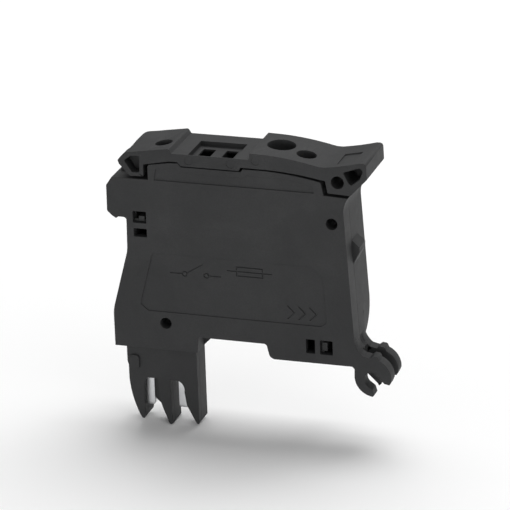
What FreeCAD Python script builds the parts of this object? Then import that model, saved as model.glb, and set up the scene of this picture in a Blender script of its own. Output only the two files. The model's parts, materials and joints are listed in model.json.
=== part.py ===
import FreeCAD, Part
import math
import os
import Sketcher

# Fuse plug for a rail terminal block.
# X runs from the tongue side to the claw side, Y from the front cover to the
# rear housing, Z up. The origin is the axis of the claw at mid width.

os.makedirs("parts", exist_ok=True)
doc = FreeCAD.newDocument("FusePlug")
Vec = FreeCAD.Vector

DIMENSIONS = [
    # planes across the thickness, as Y positions
    ("front_face", -4.1),
    ("front_inner", -3.0),
    ("claw_gap_front", -2.4),
    ("parting", -1.5),
    ("claw_gap_rear", -0.7),
    ("claw_rear", 0.9),
    ("rear_inner", 3.0),
    ("rear_face", 4.1),
    ("lug_front_inner", -2.0),
    ("lug_rear_inner", 2.0),
    ("ear_rear", 1.8),
    # shallow reliefs of the front face
    ("band_floor", -3.95),
    ("panel_floor", -3.98),
    ("mark_floor", -3.84),
    ("window_ledge", -3.4),
    ("hook_end", -3.7),
    # tongue layers
    ("tongue_front", -3.3),
    ("tongue_boss_front", -3.6),
    ("blade_front", -2.3),
    ("tongue_rear", 0.2),
    ("nub_rear", 1.2),
    ("eject_floor", -4.03),
    # hinge of the lever
    ("hinge_x", -32.3),
    ("hinge_z", 27.1),
    ("ear_radius", 1.25),
    ("hinge_bore", 0.85),
    ("trunnion_radius", 0.8),
    ("trunnion_end_front", -0.6),
    ("trunnion_end_rear", 0.6),
    # ganging bores
    ("gang_upper_x", -5.0),
    ("gang_upper_z", 21.35),
    ("gang_lower_x", -28.2),
    ("gang_lower_z", 5.3),
    ("gang_bore", 0.775),
    ("gang_boss", 1.5),
    ("lever_bore_x", -4.1),
    ("lever_bore_z", 27.12),
    ("lever_bore", 0.85),
    ("left_void_front", -2.4),
    ("left_void_rear", 2.4),
    ("right_void_front", -0.5),
    ("right_void_rear", 0.5),
    # openings in the top of the lever
    ("window_pocket_rear", 1.5),
    ("window_pocket_front", -3.9),
    ("window_rear", 0.45),
    ("window_relief_front", -3.2),
    ("window_relief_rear", 2.6),
    ("probe_left_x", -28.4),
    ("probe_left_y", -1.2),
    ("probe_left_radius", 1.15),
    ("probe_large_x", -12.8),
    ("probe_large_y", 0.3),
    ("probe_large_radius", 1.88),
    ("probe_right_x", -9.0),
    ("probe_right_y", -1.2),
    ("probe_right_radius", 1.3),
    ("lever_base", 27.0),
    ("lever_over", 31.0),
    # 5 x 20 mm fuse along X
    ("fuse_axis_z", 24.3),
    ("fuse_start", -28.05),
    ("fuse_length", 20.0),
    ("cap_length", 5.5),
    ("cap_radius", 2.6),
    ("cap_bore", 2.45),
    ("cap_end", 0.3),
    ("glass_radius", 2.35),
    ("glass_bore", 1.9),
    ("wire_radius", 0.12),
    ("solder_radius", 1.1),
    ("solder_depth", 0.5),
    ("cement_length", 1.5),
    ("cement_inset", 3.6),
    ("saddle_bore", 2.38),
    ("saddle_half", 2.9),
    # clips and strips
    ("clip_left_start", -28.0),
    ("clip_right_start", -13.5),
    ("clip_length", 5.4),
    ("clip_half_outer", 2.95),
    ("clip_half_inner", 2.65),
    ("clip_bottom", 20.85),
    ("clip_floor", 21.2),
    ("clip_top", 26.3),
    ("tab_rear", 1.2),
    ("tab_thickness", 0.8),
    ("rivet_left_x", -25.3),
    ("rivet_right_x", -10.8),
    ("rivet_radius", 0.6),
    ("rivet_head", 1.0),
    ("rivet_head_height", 0.25),
]

sheet = doc.addObject("Spreadsheet::Sheet", "dims")
for row, (alias, value) in enumerate(DIMENSIONS, start=1):
    sheet.set("A%d" % row, alias)
    sheet.set("B%d" % row, str(value))
    sheet.setAlias("B%d" % row, alias)
doc.recompute()


def dim(alias):
    """Value of one driving dimension."""
    return float(sheet.get(alias))


# ---------------------------------------------------------------- helpers

def unit(vector):
    """Copy of a vector with length one."""
    result = Vec(vector)
    result.normalize()
    return result


def read_outline(points):
    """Corners of an outline: place, corner radius, and the mid point of an arc to the next corner."""
    corners = []
    for item in points:
        if item[0] == "via":
            corners[-1]["via"] = Vec(item[1], item[2], 0)
        else:
            radius = item[2] if len(item) > 2 else 0
            corners.append({"at": Vec(item[0], item[1], 0), "radius": radius, "via": None})
    return corners


def round_corner(before, corner, after):
    """Start, end and arc of a rounded corner."""
    point = corner["at"]
    to_before = unit(before["at"] - point)
    to_after = unit(after["at"] - point)
    half_angle = to_before.getAngle(to_after) / 2
    setback = corner["radius"] / math.tan(half_angle)
    start = point + to_before * setback
    end = point + to_after * setback
    inward = unit(to_before + to_after)
    centre = point + inward * (corner["radius"] / math.sin(half_angle))
    middle = centre - inward * corner["radius"]
    return start, end, Part.Arc(start, middle, end)


def outline_curves(points):
    """Closed chain of lines and arcs along an outline."""
    corners = read_outline(points)
    count = len(corners)
    curves = []
    starts = []
    ends = []
    for i, corner in enumerate(corners):
        if corner["radius"] > 0:
            start, end, arc = round_corner(corners[i - 1], corner, corners[(i + 1) % count])
        else:
            start, end, arc = corner["at"], corner["at"], None
        starts.append(start)
        ends.append(end)
        corner["arc"] = arc
    for i, corner in enumerate(corners):
        if corner["arc"]:
            curves.append(corner["arc"])
        leave = ends[i]
        arrive = starts[(i + 1) % count]
        if corner["via"]:
            curves.append(Part.Arc(leave, corner["via"], arrive))
        else:
            curves.append(Part.LineSegment(leave, arrive))
    return curves


def box_outline(left, right, bottom, top, radius=0):
    """Outline of a rectangle with equal corner radii."""
    return [(left, bottom, radius), (left, top, radius), (right, top, radius), (right, bottom, radius)]


def disc_outline(x, z, radius):
    """Outline of a circle as two half arcs."""
    return [(x - radius, z), ("via", x, z + radius), (x + radius, z), ("via", x, z - radius)]


def stroke(x_from, z_from, x_to, z_to, width=0.15):
    """Outline of a straight line of a given width."""
    run = unit(Vec(x_to - x_from, z_to - z_from, 0))
    side = Vec(-run.y, run.x, 0) * (width / 2)
    ends = [(x_from - side.x, z_from - side.y), (x_from + side.x, z_from + side.y),
            (x_to + side.x, z_to + side.y), (x_to - side.x, z_to - side.y)]
    return ends


def new_body(label):
    """Empty body carrying the file name of its sub-part."""
    body = doc.addObject("PartDesign::Body", label)
    body.Label = label
    return body


def new_sketch(body, role, offset):
    """Sketch on an origin plane of the body, moved along the plane's normal by an expression."""
    plane = [f for f in body.Origin.OriginFeatures if f.Role == role][0]
    sketch = body.newObject("Sketcher::SketchObject", body.Label + "_sketch")
    sketch.AttachmentSupport = [(plane, "")]
    sketch.MapMode = "FlatFace"
    sketch.setExpression("AttachmentOffset.Base.z", offset)
    return sketch


def draw(sketch, outlines):
    """Add outlines to a sketch."""
    for points in outlines:
        for curve in outline_curves(points):
            sketch.addGeometry(curve, False)


def draw_circle(sketch, x_name, y_name, radius_name):
    """Add a circle whose centre and radius follow the sheet."""
    centre = Vec(dim(x_name), dim(y_name), 0)
    index = sketch.addGeometry(Part.Circle(centre, Vec(0, 0, 1), dim(radius_name)), False)
    for kind, name, value in (
        ("DistanceX", x_name, centre.x),
        ("DistanceY", y_name, centre.y),
    ):
        number = sketch.addConstraint(Sketcher.Constraint(kind, -1, 1, index, 3, value))
        sketch.setExpression("Constraints[%d]" % number, "dims." + name)
    number = sketch.addConstraint(Sketcher.Constraint("Radius", index, dim(radius_name)))
    sketch.setExpression("Constraints[%d]" % number, "dims." + radius_name)


def feature(body, kind, sketch, length):
    """Pad or pocket that runs along the sketch's reversed normal direction."""
    result = body.newObject("PartDesign::" + kind, body.Label + "_" + kind.lower())
    result.Profile = sketch
    result.setExpression("Length", length)
    result.Reversed = kind == "Pad"
    sketch.Visibility = False
    doc.recompute()
    return result


def front_sketch(body, start):
    """Sketch in an XZ plane at the Y position named start."""
    return new_sketch(body, "XZ_Plane", "-dims." + start)


def span(start, end):
    """Expression for the distance between two planes of the sheet."""
    return "dims.%s - dims.%s" % (end, start)


def pad(body, outlines, start, end):
    """Material inside the outlines from one Y plane to the next."""
    sketch = front_sketch(body, start)
    draw(sketch, outlines)
    return feature(body, "Pad", sketch, span(start, end))


def pocket(body, outlines, start, end):
    """Hollow inside the outlines from one Y plane to the next; it must remove material."""
    before = body.Shape.Volume
    sketch = front_sketch(body, start)
    draw(sketch, outlines)
    result = feature(body, "Pocket", sketch, span(start, end))
    if body.Shape.Volume > before - 1e-6:
        raise RuntimeError("pocket removed nothing: " + result.Name)
    return result


def round_pad(body, circles, start, end):
    """Cylinders along Y, each given by the sheet names of its centre and radius."""
    for names in circles:
        sketch = front_sketch(body, start)
        draw_circle(sketch, *names)
        feature(body, "Pad", sketch, span(start, end))


def round_pocket(body, circles, start, end):
    """Bores along Y, each given by the sheet names of its centre and radius."""
    for names in circles:
        before = body.Shape.Volume
        sketch = front_sketch(body, start)
        draw_circle(sketch, *names)
        feature(body, "Pocket", sketch, span(start, end))
        if body.Shape.Volume > before - 1e-6:
            raise RuntimeError("bore removed nothing in " + body.Label)


GANG_UPPER = ("gang_upper_x", "gang_upper_z")
GANG_LOWER = ("gang_lower_x", "gang_lower_z")
GANG_BOSSES = [GANG_UPPER + ("gang_boss",), GANG_LOWER + ("gang_boss",)]
GANG_BORES = [GANG_UPPER + ("gang_bore",), GANG_LOWER + ("gang_bore",)]

# ---------------------------------------------------------------- outlines of the two shells

# shelf beside the lever hinge, rim under the lever, shelf under the lever nose
SHELL_TOP = [
    (-35.65, 24.2),
    (-34.85, 25.37),
    (-29.8, 25.4),
    (-29.8, 27.45, 0.4),
    (-26.8, 27.95),
    (-25.6, 28.0),
    (-25.2, 27.5),
    (-17.05, 27.5),
    (-16.8, 27.9),
    (-13.7, 27.9),
    ("via", -10.1, 27.6),
    (-6.35, 26.97, 0.3),
    (-6.0, 25.2),
    (-2.75, 25.05),
    ("via", -3.25, 24.0),
    (-3.4, 22.8),
]

# plain lower right corner, used behind and between the claw plates
SHELL_CORNER_CLAW_ROOT = [
    (-2.33, 5.2),
    ("via", -2.0, 4.1),
    (-1.6, 3.7),
    (-1.6, 2.6),
    ("via", -2.25, 2.1),
    (-2.7, 1.65),
]
SHELL_CORNER_ROUNDED = [
    (-2.53, 8.5),
    ("via", -2.62, 5.9),
    (-3.17, 3.07),
    (-3.4, 1.65, 0.4),
]

# claw plate: bump, outer hook, open mouth at the lower right, lower hook
CLAW = [
    (-2.33, 5.2),
    ("via", -1.9, 4.05),
    (-1.2, 3.3),
    (-0.3, 3.1),
    (0.1, 3.42, 0.2),
    (0.75, 3.35, 0.3),
    (0.98, 2.82),
    ("via", 2.2, 1.74),
    (2.59, 0.17),
    (2.31, -0.5, 0.12),
    (1.58, -0.36, 0.2),
    (1.1 * math.cos(math.radians(12)), 1.1 * math.sin(math.radians(12))),
    ("via", 1.1 * math.cos(math.radians(126)), 1.1 * math.sin(math.radians(126))),
    (1.1 * math.cos(math.radians(241)), 1.1 * math.sin(math.radians(241))),
    (-0.02, -1.36, 0.2),
    (0.2, -2.18, 0.12),
    (-0.1, -2.42, 0.1),
    ("via", -1.95, -1.2),
    (-2.41, 0.5),
    (-2.4, 1.35),
    (-2.7, 1.65),
]

# the rear claw plate has a lower hook that is cut straight
CLAW_REAR = CLAW[:15] + [
    (0.22, -1.95, 0.1),
    (0.0, -2.15, 0.1),
    (-1.75, -0.45, 0.4),
    (-2.4, 0.9),
    (-2.7, 1.65),
]

# bottom edge: the cover has a square step, the housing a gusset
BOTTOM_RIGHT = [(-13.9, 1.62, 0.9), (-14.35, 3.7, 0.45)]
BOTTOM_STEP = [(-23.7, 3.7), (-23.95, 1.45)]
BOTTOM_GUSSET = [(-21.8, 3.7), (-24.0, 1.45)]

# left side with its waist and the small grip nub
SHELL_LEFT = [
    (-35.5, 1.45),
    (-35.5, 6.6, 6.0),
    (-33.15, 15.2, 4.0),
    (-33.05, 19.87, 0.4),
    (-34.15, 19.9),
    (-34.5, 19.65),
    (-35.0, 19.95),
    (-35.7, 20.6, 0.4),
]

COVER_FRONT = SHELL_TOP + CLAW + BOTTOM_RIGHT + BOTTOM_STEP + SHELL_LEFT
COVER_INNER = SHELL_TOP + SHELL_CORNER_CLAW_ROOT + BOTTOM_RIGHT + BOTTOM_STEP + SHELL_LEFT
HOUSING_GAP = SHELL_TOP + SHELL_CORNER_CLAW_ROOT + BOTTOM_RIGHT + BOTTOM_GUSSET + SHELL_LEFT
HOUSING_CLAW = SHELL_TOP + CLAW_REAR + BOTTOM_RIGHT + BOTTOM_GUSSET + SHELL_LEFT
HOUSING_BACK = SHELL_TOP + SHELL_CORNER_ROUNDED + BOTTOM_RIGHT + BOTTOM_GUSSET + SHELL_LEFT

# hollow inside both shells, open at the top between the two notches
CAVITY = [
    (-28.95, 30.0),
    (-6.9, 30.0),
    (-6.9, 24.0),
    (-4.45, 24.0, 0.3),
    (-4.4, 22.8),
    (-3.65, 9.0),
    (-4.3, 5.5),
    (-4.3, 2.75, 0.5),
    (-12.8, 2.75, 0.3),
    (-13.2, 4.8, 0.3),
    (-24.9, 4.8, 0.3),
    (-24.9, 2.6, 0.3),
    (-34.4, 2.6, 0.4),
    (-34.4, 6.7),
    (-32.1, 15.3),
    (-32.0, 20.95),
    (-34.6, 20.95, 0.3),
    (-34.6, 24.35, 0.3),
    (-28.95, 24.35),
]

# combs of the tongue
FINGER_LEFT = [
    (-34.2, 1.45),
    (-34.2, -1.0),
    (-34.05, -1.6),
    (-34.05, -3.5),
    ("via", -33.6, -6.3),
    (-32.7, -8.8),
    (-32.4, -9.3, 0.25),
    (-32.1, -9.2, 0.2),
    (-32.0, -8.8),
    (-31.93, -4.2),
    (-31.6, -3.2, 0.3),
]
FINGER_RIGHT = [
    (-27.16, -3.26),
    ("via", -26.62, -3.65),
    (-26.34, -4.8),
    (-26.07, -6.71),
    (-24.85, -9.1),
    (-24.6, -9.4, 0.15),
    (-24.4, -9.2, 0.1),
    (-24.4, 1.45),
]
FINGER_MIDDLE_FRONT = [
    (-30.0, -3.2),
    (-30.0, -5.36),
    ("via", -29.72, -6.6),
    (-29.0, -8.6),
    (-28.75, -9.45, 0.25),
    (-28.45, -9.8, 0.2),
    (-28.12, -9.6, 0.15),
    (-28.37, -3.26),
]
FINGER_MIDDLE_REAR = [
    (-30.8, -3.2),
    (-30.8, -6.5, 0.2),
    (-30.1, -7.15, 0.2),
    (-29.5, -7.2),
    (-29.0, -8.6),
    (-28.75, -9.45, 0.25),
    (-28.45, -9.8, 0.2),
    (-28.12, -9.6, 0.15),
    (-28.37, -3.26),
]
COMB_FRONT = FINGER_LEFT + FINGER_MIDDLE_FRONT + FINGER_RIGHT
COMB_REAR = FINGER_LEFT + FINGER_MIDDLE_REAR + FINGER_RIGHT
COMB_ROOT = box_outline(-34.2, -24.4, 1.2, 2.2)
BLADE_GROOVES = [box_outline(-32.3, -30.8, -7.55, 2.7), box_outline(-27.55, -25.95, -7.55, 2.7)]

# ---------------------------------------------------------------- front cover

cover = new_body("front_cover")
pad(cover, [COVER_FRONT], "front_face", "claw_gap_front")
pad(cover, [COVER_INNER], "claw_gap_front", "parting")
pocket(cover, [CAVITY], "front_inner", "parting")
round_pad(cover, GANG_BOSSES, "front_inner", "parting")
pad(cover, [COMB_FRONT], "tongue_front", "blade_front")
pad(cover, [[(-33.85, -1.85, 0.3), (-33.85, 0.05, 0.6), (-32.45, 0.05, 0.5), (-32.45, -1.85, 0.2)]],
    "tongue_boss_front", "tongue_front")
pocket(cover, BLADE_GROOVES, "blade_front", "parting")
round_pocket(cover, GANG_BORES, "front_face", "parting")

# shallow reliefs of the face: band under the lever, label panel, fuse symbol
BAND = [
    (-29.0, 25.4),
    (-28.7, 26.93, 0.2),
    (-26.0, 27.3),
    (-24.8, 26.75),
    (-16.85, 26.75),
    (-16.1, 27.12),
    (-10.4, 27.04),
    (-7.4, 26.4, 0.2),
    (-7.3, 25.4),
]
PANEL = [
    (-29.4, 15.25, 0.4),
    (-8.05, 15.25, 0.6),
    (-6.35, 14.0, 0.5),
    (-6.0, 7.5, 0.4),
    (-6.75, 6.9),
    (-30.6, 6.9),
    (-31.65, 7.8, 0.3),
    (-29.75, 14.85),
]
pocket(cover, [BAND], "front_face", "band_floor")
pocket(cover, [PANEL], "front_face", "panel_floor")

# fuse symbol: a long rectangle on a line; isolator symbol: two contacts and a lifted arm
FUSE_SYMBOL = [
    box_outline(-18.2, -14.5, 12.9, 14.3),
    box_outline(-18.05, -14.65, 13.05, 14.15),
]
FUSE_LINES = [
    stroke(-19.4, 13.6, -18.2, 13.6),
    stroke(-18.05, 13.6, -14.65, 13.6),
    stroke(-14.5, 13.6, -13.3, 13.6),
]
ISOLATOR_SYMBOL = [
    disc_outline(-25.3, 12.6, 0.4),
    disc_outline(-25.3, 12.6, 0.25),
    disc_outline(-22.3, 12.6, 0.4),
    disc_outline(-22.3, 12.6, 0.25),
]
ISOLATOR_LINES = [
    stroke(-27.3, 12.6, -25.6, 12.6),
    stroke(-25.0, 12.76, -22.8, 14.1),
    stroke(-22.0, 12.6, -20.3, 12.6),
]
pocket(cover, FUSE_SYMBOL, "panel_floor", "mark_floor")
pocket(cover, FUSE_LINES, "panel_floor", "mark_floor")
pocket(cover, ISOLATOR_SYMBOL, "panel_floor", "mark_floor")
pocket(cover, ISOLATOR_LINES, "panel_floor", "mark_floor")

# three arrow heads that point the way the plug swings in
ARROW_STARTS = [-11.4, -9.9, -8.4]
for start in ARROW_STARTS:
    tip = start + 0.9
    head = [(start, 7.6), (tip, 8.5), (start, 9.4), (start + 0.22, 9.4), (tip + 0.22, 8.5), (start + 0.22, 7.6)]
    pocket(cover, [head], "panel_floor", "mark_floor")

# snap windows; two of them are stepped so that a hook can hold on the ledge
pocket(cover, [box_outline(-32.15, -30.3, 19.25, 20.85, 0.1), box_outline(-7.0, -5.3, 3.0, 4.95, 0.1)],
       "front_face", "window_ledge")
pocket(cover, [box_outline(-32.15, -30.3, 19.6, 20.85), box_outline(-6.6, -5.3, 3.0, 4.95)],
       "window_ledge", "front_inner")
pocket(cover, [box_outline(-32.1, -30.3, 17.3, 18.45, 0.1), box_outline(-8.9, -7.7, 3.0, 4.95, 0.1)],
       "front_face", "front_inner")

# ---------------------------------------------------------------- rear housing

housing = new_body("rear_housing")
pad(housing, [HOUSING_GAP], "parting", "claw_gap_rear")
pad(housing, [HOUSING_CLAW], "claw_gap_rear", "claw_rear")
pad(housing, [HOUSING_BACK], "claw_rear", "rear_face")
pocket(housing, [CAVITY], "parting", "rear_inner")
round_pad(housing, GANG_BOSSES, "parting", "rear_inner")

# tongue behind the parting of the comb, with grooves that hold the edges of the blades
pad(housing, [COMB_REAR], "blade_front", "tongue_rear")
pad(housing, [COMB_ROOT], "parting", "tongue_rear")
pocket(housing, BLADE_GROOVES, "blade_front", "parting")

# ear of the lever hinge on the left shelf
EAR_LEG = [
    (-34.4, 25.0),
    (-34.4, 25.95, 0.2),
    (-33.3, 25.95),
    (-33.3, 27.1),
    (-31.3, 27.1),
    (-31.0, 26.3),
    (-29.6, 26.3),
    (-29.6, 25.0),
]
pad(housing, [EAR_LEG], "parting", "ear_rear")
round_pad(housing, [("hinge_x", "hinge_z", "ear_radius")], "parting", "ear_rear")
round_pocket(housing, [("hinge_x", "hinge_z", "hinge_bore")], "parting", "ear_rear")

# grip nub on the right side
pad(housing, [[(-3.6, 18.45), (-3.25, 18.45), (-2.1, 17.4, 0.15), (-2.1, 16.7, 0.3), (-2.95, 15.0),
               (-3.4, 15.0)]], "parting", "nub_rear")

# two snap hooks that reach through the cavity into the cover windows
pad(housing, [box_outline(-31.45, -30.65, 19.65, 20.1)], "hook_end", "rear_inner")
pad(housing, [box_outline(-31.45, -30.65, 19.35, 19.7)], "hook_end", "window_ledge")
pad(housing, [box_outline(-6.55, -6.1, 3.35, 4.55)], "hook_end", "rear_inner")
pad(housing, [box_outline(-6.85, -6.5, 3.35, 4.55)], "hook_end", "window_ledge")
round_pocket(housing, GANG_BORES, "parting", "rear_face")

# ---------------------------------------------------------------- fuse lever

LEVER = [
    (-33.9, 27.8, 0.2),
    (-32.9, 29.0, 2.0),
    (-31.2, 29.2),
    (-30.0, 29.4),
    (-26.8, 29.9, 0.3),
    (-26.4, 29.27),
    (-15.85, 29.27),
    (-15.8, 30.15),
    (-13.7, 30.1),
    ("via", -10.2, 29.76),
    (-6.5, 29.05),
    (-5.6, 29.04),
    ("via", -3.3, 29.45),
    (-1.1, 29.97),
    (-0.25, 30.0, 0.45),
    (-0.17, 27.8, 0.2),
    (-2.4, 25.42),
    (-5.46, 25.55, 0.2),
    (-5.75, 27.2, 0.2),
    (-6.5, 27.3),
    ("via", -9.6, 27.78),
    (-13.7, 28.07),
    (-17.1, 28.09),
    (-17.3, 27.62),
    (-25.2, 27.63),
    (-25.65, 28.15),
    (-26.8, 28.15),
    (-30.34, 27.46),
    (-30.4, 25.8, 0.15),
    (-32.25, 25.75, 0.2),
    (-33.7, 27.28, 0.1),
]
HINGE_SLOT = [
    (-36.0, 25.0),
    (-36.0, 30.5),
    (-32.9, 30.5),
    (-32.9, 28.5),
    (-30.3, 28.5),
    (-30.3, 25.0),
]
VOID_LEFT = [
    (-33.0, 27.85, 0.2),
    (-32.1, 28.5, 0.3),
    (-30.85, 28.65, 0.2),
    (-30.93, 26.32, 0.25),
    (-31.95, 26.3, 0.15),
]
VOID_RIGHT = [
    (-3.3, 28.55, 0.15),
    (-1.1, 29.32, 0.2),
    (-0.68, 28.9, 0.2),
    (-1.15, 27.75),
    (-2.3, 26.85, 0.2),
    (-2.7, 27.3),
]

lever = new_body("fuse_lever")
pad(lever, [LEVER], "front_face", "rear_face")
pocket(lever, [HINGE_SLOT], "lug_front_inner", "lug_rear_inner")
TRUNNION = ("hinge_x", "hinge_z", "trunnion_radius")
round_pad(lever, [TRUNNION], "lug_front_inner", "trunnion_end_front")
round_pad(lever, [TRUNNION], "trunnion_end_rear", "lug_rear_inner")
pocket(lever, [VOID_LEFT], "front_face", "left_void_front")
pocket(lever, [VOID_LEFT], "left_void_rear", "rear_face")
pocket(lever, [VOID_RIGHT], "front_face", "right_void_front")
pocket(lever, [VOID_RIGHT], "right_void_rear", "rear_face")
round_pocket(lever, [("lever_bore_x", "lever_bore_z", "lever_bore")], "front_face", "rear_face")

# shallow marks of the ejector pins
EJECTOR_MARKS = [(-24.1, 28.5), (-18.4, 28.5), (-15.0, 29.2)]
pocket(lever, [disc_outline(x, z, 0.6) for x, z in EJECTOR_MARKS], "front_face", "eject_floor")

# recess in the middle of the top with two through windows, a relief that thins its floor
# from below, and the marker recess of the nose
pocket(lever, [box_outline(-24.2, -17.85, 28.57, 31.0)], "window_pocket_front", "window_pocket_rear")
pocket(lever, [box_outline(-23.5, -21.8, 27.0, 29.0), box_outline(-20.3, -18.7, 27.0, 29.0)],
       "blade_front", "window_rear")
pocket(lever, [box_outline(-24.3, -17.8, 27.0, 28.2)], "window_relief_front", "window_relief_rear")
pocket(lever, [[(-4.45, 29.02), (-4.45, 31.0), (-2.05, 31.0), (-2.05, 29.5)]],
       "front_inner", "claw_rear")

# saddles that grip the glass tube
SADDLES = [(-21.7, 1.3), (-16.9, 2.0)]
for start, length in SADDLES:
    sketch = new_sketch(lever, "YZ_Plane", "%g" % start)
    half = dim("saddle_half")
    draw(sketch, [box_outline(-half, half, 23.1, 28.3, 0.15)])
    block = lever.newObject("PartDesign::Pad", "saddle_block")
    block.Profile = sketch
    block.Length = length
    doc.recompute()
sketch = new_sketch(lever, "YZ_Plane", "-22.5")
circle = sketch.addGeometry(
    Part.Circle(Vec(0, dim("fuse_axis_z"), 0), Vec(0, 0, 1), dim("saddle_bore")), False)
sketch.addConstraint(Sketcher.Constraint("DistanceX", -1, 1, circle, 3, 0))
number = sketch.addConstraint(Sketcher.Constraint("DistanceY", -1, 1, circle, 3, dim("fuse_axis_z")))
sketch.setExpression("Constraints[%d]" % number, "dims.fuse_axis_z")
number = sketch.addConstraint(Sketcher.Constraint("Radius", circle, dim("saddle_bore")))
sketch.setExpression("Constraints[%d]" % number, "dims.saddle_bore")
bed = lever.newObject("PartDesign::Pocket", "saddle_bed")
bed.Profile = sketch
bed.Length = 9.0
bed.Reversed = True
doc.recompute()

# round holes in the top, seen from above
for name in ("probe_left", "probe_large", "probe_right"):
    before = lever.Shape.Volume
    sketch = new_sketch(lever, "XY_Plane", "dims.lever_over")
    draw_circle(sketch, name + "_x", name + "_y", name + "_radius")
    hole = lever.newObject("PartDesign::Pocket", name + "_hole")
    hole.Profile = sketch
    hole.setExpression("Length", "dims.lever_over - dims.lever_base")
    doc.recompute()
    if lever.Shape.Volume > before - 1e-6:
        raise RuntimeError("hole removed nothing: " + name)

# ---------------------------------------------------------------- contact strips

STRIP_LEFT = [
    (-32.25, -7.5, 0.35),
    (-32.25, 9.0),
    (-29.6, 12.4),
    (-29.6, 20.85),
    (-28.0, 20.85),
    (-28.0, 11.8),
    (-30.85, 8.4),
    (-30.85, -7.5, 0.35),
]
STRIP_RIGHT = [
    (-27.5, -7.5, 0.35),
    (-27.5, 2.6),
    (-26.5, 4.1),
    (-26.5, 9.6),
    (-12.5, 9.6),
    (-12.5, 20.85),
    (-10.9, 20.85),
    (-10.9, 8.0),
    (-25.05, 8.0),
    (-25.05, 3.4),
    (-26.0, 2.1),
    (-26.0, -7.5, 0.35),
]


def contact(label, strip, tab_start, tab_end):
    """Flat strip with a tab bent over under its clip."""
    body = new_body(label)
    pad(body, [strip], "blade_front", "parting")
    top = dim("clip_bottom")
    tab = box_outline(tab_start, tab_end, top - dim("tab_thickness"), top)
    pad(body, [tab], "blade_front", "tab_rear")
    return body


blade_left = contact("contact_blade_left", STRIP_LEFT, -29.6, -23.8)
blade_right = contact("contact_blade_right", STRIP_RIGHT, -12.5, -9.0)


def clip(label, start):
    """Spring clip bent to a U, open upward, with a slit in each arm."""
    outer = dim("clip_half_outer")
    inner = dim("clip_half_inner")
    bottom = dim("clip_bottom")
    floor = dim("clip_floor")
    top = dim("clip_top")
    body = new_body(label)
    sketch = new_sketch(body, "YZ_Plane", "dims." + start)
    draw(sketch, [[(-outer, bottom, 0.45), (-outer, top), (-inner, top), (-inner, floor, 0.1),
                   (inner, floor, 0.1), (inner, top), (outer, top), (outer, bottom, 0.45)]])
    bent = body.newObject("PartDesign::Pad", label + "_bent")
    bent.Profile = sketch
    bent.setExpression("Length", "dims.clip_length")
    doc.recompute()
    middle = dim(start) + dim("clip_length") / 2
    pocket(body, [box_outline(middle - 0.25, middle + 0.25, 22.2, 27.0)], "front_face", "rear_face")
    return body


clip_left = clip("fuse_clip_left", "clip_left_start")
clip_right = clip("fuse_clip_right", "clip_right_start")


def rivet_hole(body, x_name):
    """Hole along Z for a rivet."""
    sketch = new_sketch(body, "XY_Plane", "dims.clip_floor + 0.1")
    centre = Vec(dim(x_name), 0, 0)
    index = sketch.addGeometry(Part.Circle(centre, Vec(0, 0, 1), dim("rivet_radius")), False)
    number = sketch.addConstraint(Sketcher.Constraint("DistanceX", -1, 1, index, 3, centre.x))
    sketch.setExpression("Constraints[%d]" % number, "dims." + x_name)
    sketch.addConstraint(Sketcher.Constraint("PointOnObject", index, 3, -1))
    number = sketch.addConstraint(Sketcher.Constraint("Radius", index, dim("rivet_radius")))
    sketch.setExpression("Constraints[%d]" % number, "dims.rivet_radius")
    hole = body.newObject("PartDesign::Pocket", "rivet_hole")
    hole.Profile = sketch
    hole.Length = 2.0
    before = body.Shape.Volume
    doc.recompute()
    if body.Shape.Volume > before - 1e-6:
        raise RuntimeError("rivet hole removed nothing in " + body.Label)


rivet_hole(blade_left, "rivet_left_x")
rivet_hole(clip_left, "rivet_left_x")
rivet_hole(blade_right, "rivet_right_x")
rivet_hole(clip_right, "rivet_right_x")


def cylinder(name, radius, height, base, axis="Z"):
    """Part cylinder whose radius, height and base follow the sheet; it stands along X or Z."""
    shape = doc.addObject("Part::Cylinder", name)
    shape.setExpression("Radius", radius)
    shape.setExpression("Height", height)
    if axis == "X":
        shape.Placement = FreeCAD.Placement(Vec(0, 0, 0), FreeCAD.Rotation(Vec(0, 1, 0), 90))
    for letter, expression in zip("xyz", base):
        shape.setExpression("Placement.Base." + letter, expression)
    return shape


def cut(name, outer, inner):
    """One primitive minus another."""
    result = doc.addObject("Part::Cut", name)
    result.Base = outer
    result.Tool = inner
    return result


def fuse(name, shapes):
    """Several primitives as one object."""
    result = doc.addObject("Part::MultiFuse", name)
    result.Shapes = shapes
    return result


rivet_pieces = []
for side in ("left", "right"):
    place = "dims.rivet_%s_x" % side
    under = "dims.clip_bottom - dims.tab_thickness"
    rivet_pieces.append(cylinder("rivet_shank_" + side, "dims.rivet_radius",
                                 "dims.clip_floor - dims.clip_bottom + dims.tab_thickness",
                                 (place, "0", under)))
    rivet_pieces.append(cylinder("rivet_top_" + side, "dims.rivet_head", "dims.rivet_head_height",
                                 (place, "0", "dims.clip_floor")))
    rivet_pieces.append(cylinder("rivet_foot_" + side, "dims.rivet_head", "dims.rivet_head_height",
                                 (place, "0", under + " - dims.rivet_head_height")))
rivets = fuse("clip_rivets", rivet_pieces)

# ---------------------------------------------------------------- cartridge fuse


def along(name, radius, length, start):
    """Cylinder on the fuse axis, from a start position along X."""
    return cylinder(name, radius, length, (start, "0", "dims.fuse_axis_z"), "X")


glass_length = "dims.fuse_length - 2 * dims.cap_end"
glass = cut("fuse_glass_tube",
            along("glass_outer", "dims.glass_radius", glass_length, "dims.fuse_start + dims.cap_end"),
            along("glass_inner", "dims.glass_bore", glass_length, "dims.fuse_start + dims.cap_end"))

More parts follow.
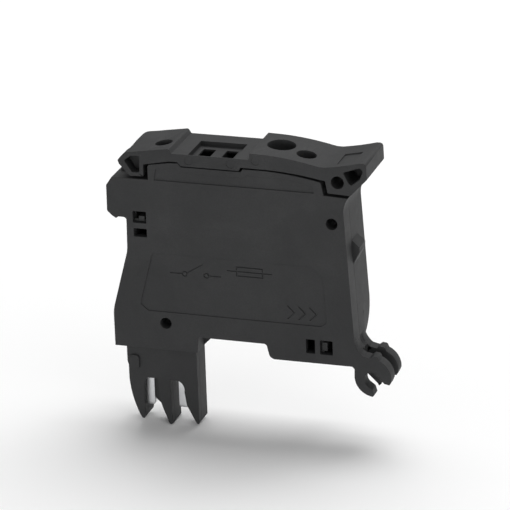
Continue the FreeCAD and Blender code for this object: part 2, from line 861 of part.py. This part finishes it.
cap_starts = {
    "left": ("dims.fuse_start", "dims.fuse_start + dims.cap_end"),
    "right": ("dims.fuse_start + dims.fuse_length - dims.cap_length",
              "dims.fuse_start + dims.fuse_length - dims.cap_length"),
}
cement_starts = {
    "left": "dims.fuse_start + dims.cement_inset",
    "right": "dims.fuse_start + dims.fuse_length - dims.cement_inset - dims.cement_length",
}
solder_starts = {
    "left": "dims.fuse_start + dims.cap_end",
    "right": "dims.fuse_start + dims.fuse_length - dims.cap_end - dims.solder_depth",
}
fuse_ends = []
for side in ("left", "right"):
    outer_start, inner_start = cap_starts[side]
    fuse_ends.append(cut("fuse_cap_" + side,
                         along("cap_outer_" + side, "dims.cap_radius", "dims.cap_length", outer_start),
                         along("cap_inner_" + side, "dims.cap_bore", "dims.cap_length - dims.cap_end",
                               inner_start)))
    fuse_ends.append(cut("fuse_cement_" + side,
                         along("cement_outer_" + side, "dims.cap_bore", "dims.cement_length",
                               cement_starts[side]),
                         along("cement_inner_" + side, "dims.glass_radius", "dims.cement_length",
                               cement_starts[side])))
    fuse_ends.append(along("fuse_solder_" + side, "dims.solder_radius", "dims.solder_depth",
                           solder_starts[side]))
wire = along("fuse_wire", "dims.wire_radius",
             "dims.fuse_length - 2 * dims.cap_end - 2 * dims.solder_depth",
             "dims.fuse_start + dims.cap_end + dims.solder_depth")
doc.recompute()

# ---------------------------------------------------------------- checks and export

SUB_PARTS = [cover, housing, lever, blade_left, blade_right, clip_left, clip_right, rivets,
             glass, wire] + fuse_ends
for item in doc.Objects:
    if "Invalid" in item.State or "Error" in item.State:
        raise RuntimeError("bad state: " + item.Name)
for item in SUB_PARTS:
    item.Label = item.Name
    if item.Shape.isNull() or not item.Shape.isValid():
        raise RuntimeError("bad shape: " + item.Name)
    item.Shape.exportStep("parts/%s.step" % item.Label)
    print("%-22s solids %d volume %.2f" % (item.Label, len(item.Shape.Solids), item.Shape.Volume))
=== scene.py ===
import json
import math

import bmesh
import bpy
from mathutils import Matrix, Vector


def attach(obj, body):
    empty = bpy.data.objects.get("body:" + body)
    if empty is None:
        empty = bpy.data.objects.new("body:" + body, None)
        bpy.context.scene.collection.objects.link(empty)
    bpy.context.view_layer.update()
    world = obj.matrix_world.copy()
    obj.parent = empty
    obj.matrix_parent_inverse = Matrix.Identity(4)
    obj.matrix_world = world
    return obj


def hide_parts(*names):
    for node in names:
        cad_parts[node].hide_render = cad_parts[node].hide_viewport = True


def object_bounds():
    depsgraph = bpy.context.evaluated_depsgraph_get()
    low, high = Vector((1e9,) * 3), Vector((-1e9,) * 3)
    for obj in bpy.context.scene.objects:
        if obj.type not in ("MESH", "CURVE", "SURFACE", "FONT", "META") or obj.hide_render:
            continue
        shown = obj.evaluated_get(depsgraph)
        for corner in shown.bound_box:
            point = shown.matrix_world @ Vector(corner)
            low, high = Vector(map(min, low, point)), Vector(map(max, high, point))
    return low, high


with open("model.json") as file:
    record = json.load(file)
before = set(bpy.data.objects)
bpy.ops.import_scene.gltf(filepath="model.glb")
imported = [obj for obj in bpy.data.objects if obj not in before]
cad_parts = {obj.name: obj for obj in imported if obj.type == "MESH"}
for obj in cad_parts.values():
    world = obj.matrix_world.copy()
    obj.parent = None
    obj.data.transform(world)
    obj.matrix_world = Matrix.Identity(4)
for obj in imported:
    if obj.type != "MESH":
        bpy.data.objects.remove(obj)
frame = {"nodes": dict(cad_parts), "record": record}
CAD_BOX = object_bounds()
NODES = frame["nodes"]
MM = 0.001


# ---------------------------------------------------------------- node helpers

class Shader:
    """A material's node tree with short ways to add and link nodes."""

    def __init__(self, name):
        self.material = bpy.data.materials.new(name)
        self.material.use_nodes = True
        self.tree = self.material.node_tree
        self.surface = self.tree.nodes["Principled BSDF"]

    def add(self, kind, inputs=None, **settings):
        """New node with its settings and inputs; an input is a number, a colour or another socket."""
        node = self.tree.nodes.new("ShaderNode" + kind)
        for key, value in settings.items():
            setattr(node, key, value)
        for key, value in (inputs or {}).items():
            self.set(node.inputs[key], value)
        return node

    def set(self, socket, value):
        """Give a socket a value, or link another socket to it."""
        if isinstance(value, bpy.types.NodeSocket):
            self.tree.links.new(value, socket)
        else:
            socket.default_value = value

    def base(self, **inputs):
        """Set inputs of the Principled surface; an underscore stands for a space."""
        for key, value in inputs.items():
            self.set(self.surface.inputs[key.replace("_", " ")], value)

    def position(self):
        """Object coordinates, in metres."""
        return self.add("TexCoord").outputs["Object"]

    def noise(self, scale, detail=4.0, roughness=0.55, vector=None, distortion=0.0):
        """Noise factor at a scale in cycles per metre."""
        node = self.add("TexNoise", {"Vector": vector or self.position(), "Scale": scale,
                                     "Detail": detail, "Roughness": roughness,
                                     "Distortion": distortion})
        return node.outputs["Fac"]

    def ramp(self, factor, stops):
        """Colour ramp through (position, colour) stops."""
        node = self.add("ValToRGB", {"Fac": factor})
        ramp = node.color_ramp
        while len(ramp.elements) < len(stops):
            ramp.elements.new(0.5)
        for element, (place, colour) in zip(ramp.elements, stops):
            element.position = place
            element.color = (*colour, 1.0)
        return node.outputs["Color"]

    def spread(self, factor, low, high):
        """Map a 0 to 1 factor onto low to high."""
        node = self.add("MapRange", {"Value": factor, "To Min": low, "To Max": high})
        return node.outputs["Result"]

    def bump(self, height, distance, strength=1.0, normal=None):
        """Bump normal from a height factor; the distance is in metres."""
        inputs = {"Height": height, "Distance": distance, "Strength": strength}
        if normal is not None:
            inputs["Normal"] = normal
        return self.add("Bump", inputs).outputs["Normal"]


def grey(value):
    """Neutral colour."""
    return (value, value, value)


# ---------------------------------------------------------------- materials

def black_plastic():
    """Moulded glass-filled plastic: charcoal, satin, with fine spark-eroded grain and faint flow."""
    shader = Shader("moulded_black_plastic")
    flow = shader.noise(120.0, detail=3.0, distortion=0.6)
    speck = shader.noise(5200.0, detail=2.0)
    tone = shader.add("Mix", {"Factor": 0.35, "A": flow, "B": speck}, data_type="FLOAT")
    colour = shader.ramp(tone.outputs["Result"], [
        (0.30, (0.0290, 0.0294, 0.0302)),
        (0.52, (0.0350, 0.0354, 0.0362)),
        (0.72, (0.0430, 0.0434, 0.0442)),
    ])
    rough = shader.spread(shader.noise(900.0, detail=5.0), 0.50, 0.66)
    grain = shader.noise(9000.0, detail=3.0, roughness=0.7)
    waves = shader.noise(260.0, detail=2.0)
    normal = shader.bump(grain, 0.006 * MM, 0.8)
    normal = shader.bump(waves, 0.05 * MM, 0.25, normal)
    shader.base(Base_Color=colour, Roughness=rough, Normal=normal)
    shader.base(IOR=1.5, Specular_IOR_Level=0.2)
    return shader.material


def plated_metal(name, dark, light, rough_low, rough_high, brushed=True):
    """Plated or rolled metal with fine lines along its length and small stains."""
    shader = Shader(name)
    place = shader.position()
    if brushed:
        stretch = shader.add("Mapping", {"Vector": place, "Scale": (1.0, 1.0, 0.06)})
        lines = shader.noise(9000.0, detail=3.0, vector=stretch.outputs["Vector"])
    else:
        lines = shader.noise(7000.0, detail=3.0)
    stains = shader.noise(700.0, detail=4.0, distortion=0.4)
    colour = shader.ramp(stains, [(0.3, dark), (0.7, light)])
    rough = shader.spread(stains, rough_low, rough_high)
    shader.base(Base_Color=colour, Metallic=1.0, Roughness=rough)
    shader.base(Normal=shader.bump(lines, 0.004 * MM, 0.6))
    return shader.material


def glass():
    """Clear tube glass with faint drawing lines."""
    shader = Shader("clear_tube_glass")
    lines = shader.noise(1500.0, detail=2.0)
    tint = shader.ramp(lines, [(0.3, (0.93, 0.96, 0.95)), (0.7, (0.97, 0.985, 0.98))])
    shader.base(Base_Color=tint, Roughness=shader.spread(lines, 0.02, 0.06), IOR=1.47)
    shader.base(Transmission_Weight=1.0, Normal=shader.bump(lines, 0.004 * MM, 0.5))
    return shader.material


def cement():
    """Pale ceramic cement, grainy and matte."""
    shader = Shader("cap_cement")
    grain = shader.noise(6000.0, detail=4.0)
    colour = shader.ramp(grain, [(0.3, (0.50, 0.47, 0.38)), (0.7, (0.66, 0.63, 0.54))])
    shader.base(Base_Color=colour, Roughness=shader.spread(grain, 0.75, 0.95))
    shader.base(Normal=shader.bump(grain, 0.02 * MM, 0.8))
    return shader.material


MATERIALS = {
    "black_plastic": black_plastic(),
    "tinned_contact": plated_metal("tinned_strip", (0.70, 0.71, 0.72), (0.82, 0.83, 0.84), 0.28, 0.44),
    "clip_metal": plated_metal("clip_brass", (0.62, 0.46, 0.22), (0.80, 0.64, 0.36), 0.24, 0.40),
    "cap_metal": plated_metal("nickel_cap", (0.66, 0.65, 0.61), (0.80, 0.79, 0.76), 0.12, 0.26, False),
    "fuse_glass": glass(),
    "solder": plated_metal("solder_alloy", (0.42, 0.42, 0.43), (0.62, 0.62, 0.63), 0.35, 0.6, False),
    "cement": cement(),
}


# ---------------------------------------------------------------- pieces with rounded edges

# an edge is rounded above the first angle, and shades sharp above the second
ROUNDED_ABOVE = math.radians(24)
SHARP_ABOVE = math.radians(50)
FLAT_WITHIN = math.radians(0.1)

# points nearer than this are one, and edges shorter than this go
SAME_POINT = 0.002 * MM
SHORTEST_EDGE = 0.003 * MM

# a rounding takes at most this share of the face beside it
ROOM_SHARE = 0.2
ROUNDING_SEGMENTS = 2

# an edge leaves another sideways where the cosine between them is below this
SIDEWAYS = 0.75

# nodes whose flat faces stay whole; all others are cut into triangles
WHOLE_FACES = {"front_cover"}

# width of the rounding for each material slot
EDGE_WIDTH = {
    "black_plastic": 0.05 * MM,
    "tinned_contact": 0.08 * MM,
    "clip_metal": 0.06 * MM,
    "cap_metal": 0.12 * MM,
    "fuse_glass": 0.10 * MM,
    "solder": 0.08 * MM,
    "cement": 0.05 * MM,
}


def clean_mesh(node):
    """The CAD node's mesh without slivers, its flat faces whole or in well-shaped triangles."""
    source = bmesh.new()
    source.from_mesh(NODES[node].data)
    bmesh.ops.remove_doubles(source, verts=source.verts, dist=SAME_POINT)
    bmesh.ops.dissolve_degenerate(source, edges=source.edges, dist=SHORTEST_EDGE)
    bmesh.ops.dissolve_limit(source, angle_limit=FLAT_WITHIN, verts=source.verts, edges=source.edges)
    if node not in WHOLE_FACES:
        bmesh.ops.triangulate(source, faces=source.faces, quad_method="BEAUTY", ngon_method="BEAUTY")
    return source


def room_beside(edge):
    """Length of the shortest neighbouring edge that leaves this edge sideways."""
    room = math.inf
    for vertex in edge.verts:
        along = (edge.other_vert(vertex).co - vertex.co).normalized()
        for other in vertex.link_edges:
            if other is edge:
                continue
            away = (other.other_vert(vertex).co - vertex.co).normalized()
            if abs(along.dot(away)) < SIDEWAYS:
                room = min(room, other.calc_length())
    return room


def rounded_piece(node, width):
    """Stand-in for a CAD node: the same shape with every edge rounded."""
    source = clean_mesh(node)
    layer = source.edges.layers.float.new("bevel_weight_edge")
    for edge in source.edges:
        if len(edge.link_faces) == 2 and edge.calc_face_angle(0.0) > ROUNDED_ABOVE:
            edge[layer] = min(1.0, ROOM_SHARE * room_beside(edge) / width)
    mesh = bpy.data.meshes.new(node + "_rounded")
    source.to_mesh(mesh)
    source.free()
    piece = bpy.data.objects.new(node + "_moulded", mesh)
    bpy.context.scene.collection.objects.link(piece)
    bevel = piece.modifiers.new("rounding", "BEVEL")
    bevel.limit_method = "WEIGHT"
    bevel.width = width
    bevel.segments = ROUNDING_SEGMENTS
    bevel.use_clamp_overlap = False
    bevel.harden_normals = False
    bevel.loop_slide = False
    bake(piece)
    piece.data.shade_smooth()
    piece.data.set_sharp_from_angle(angle=SHARP_ABOVE)
    weighted = piece.modifiers.new("weighted", "WEIGHTED_NORMAL")
    weighted.keep_sharp = True
    bake(piece)
    return piece


def bake(piece):
    """Apply every modifier of a piece."""
    bpy.context.view_layer.update()
    depsgraph = bpy.context.evaluated_depsgraph_get()
    final = bpy.data.meshes.new_from_object(piece.evaluated_get(depsgraph))
    piece.modifiers.clear()
    piece.data = final


def build_piece(node, body, slot):
    """Rounded piece in place of a CAD node, with its material, body and record slot."""
    piece = rounded_piece(node, EDGE_WIDTH[slot])
    piece.data.materials.clear()
    piece.data.materials.append(MATERIALS[slot])
    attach(piece, body)
    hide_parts(node)


def build_pieces():
    """One rounded piece for every CAD node."""
    body_of = {}
    for body, nodes in frame["record"]["behaviour"]["bodies"].items():
        for node in nodes:
            body_of[node] = body
    for entry in frame["record"]["subparts"]:
        build_piece(entry["node"], body_of[entry["node"]], entry["material_slot"])


# ---------------------------------------------------------------- floor, light and camera

def floor_material():
    """Pale matte studio floor."""
    shader = Shader("studio_floor")
    cloud = shader.noise(6.0, detail=2.0)
    colour = shader.ramp(cloud, [(0.3, grey(0.93)), (0.7, grey(0.95))])
    shader.base(Base_Color=colour, Roughness=0.9)
    return shader.material


def build_floor():
    """Large pale floor at the object's lowest point."""
    lowest = CAD_BOX[0][2]
    mesh = bpy.data.meshes.new("studio_floor")
    half = 3.0
    corners = [(-half, -half, 0), (half, -half, 0), (half, half, 0), (-half, half, 0)]
    mesh.from_pydata(corners, [], [(0, 1, 2, 3)])
    floor = bpy.data.objects.new("studio_floor", mesh)
    floor.location.z = lowest
    bpy.context.scene.collection.objects.link(floor)
    mesh.materials.append(floor_material())


def area_light(name, place, target, size, power):
    """Soft rectangular light aimed at a point."""
    data = bpy.data.lights.new(name, "AREA")
    data.shape = "RECTANGLE"
    data.size, data.size_y = size
    data.energy = power
    light = bpy.data.objects.new(name, data)
    light.location = place
    light.rotation_euler = (Vector(target) - Vector(place)).to_track_quat("-Z", "Y").to_euler()
    bpy.context.scene.collection.objects.link(light)


def build_camera():
    """Camera at the photograph's viewing angle."""
    azimuth, elevation, roll = math.radians(18.5), math.radians(21.8), math.radians(-2.0)
    aim = Vector((-15.479, -4.1, 16.18)) * MM
    distance = 433.0 * MM
    back = Vector((math.sin(azimuth) * math.cos(elevation),
                   -math.cos(azimuth) * math.cos(elevation), math.sin(elevation)))
    level = Vector((math.cos(azimuth), math.sin(azimuth), 0.0))
    upright = back.cross(level)
    right = level * math.cos(roll) + upright * math.sin(roll)
    up = upright * math.cos(roll) - level * math.sin(roll)
    data = bpy.data.cameras.new("studio_camera")
    data.sensor_width = 36.0
    data.lens = 235.76
    data.clip_start = 0.01
    data.clip_end = 20.0
    camera = bpy.data.objects.new("studio_camera", data)
    matrix = Matrix((right, up, back)).transposed().to_4x4()
    matrix.translation = aim + back * distance
    camera.matrix_world = matrix
    bpy.context.scene.collection.objects.link(camera)
    bpy.context.scene.camera = camera


def build_lights():
    """Softboxes above, in front, to the right and behind."""
    middle = Vector((-16.5, 0.0, 10.0)) * MM
    area_light("key_softbox", (0.30, -0.25, 0.42), middle, (0.30, 0.30), 0.25)
    area_light("top_softbox", (0.0, 0.22, 0.55), middle, (0.6, 0.4), 3.1)
    area_light("front_fill", (-0.12, -0.60, 0.09), middle, (0.6, 0.12), 0.9)
    area_light("rear_softbox", (0.28, 0.60, 0.30), middle, (0.5, 0.3), 0.5)


def build_world():
    """Even white light from all around, and plain colours in the picture."""
    world = bpy.data.worlds.new("studio_world")
    world.use_nodes = True
    background = world.node_tree.nodes["Background"]
    background.inputs["Color"].default_value = (1.0, 1.0, 1.0, 1.0)
    background.inputs["Strength"].default_value = 0.3
    bpy.context.scene.world = world
    bpy.context.scene.view_settings.view_transform = "Standard"


build_pieces()
build_floor()
build_camera()
build_lights()
build_world()
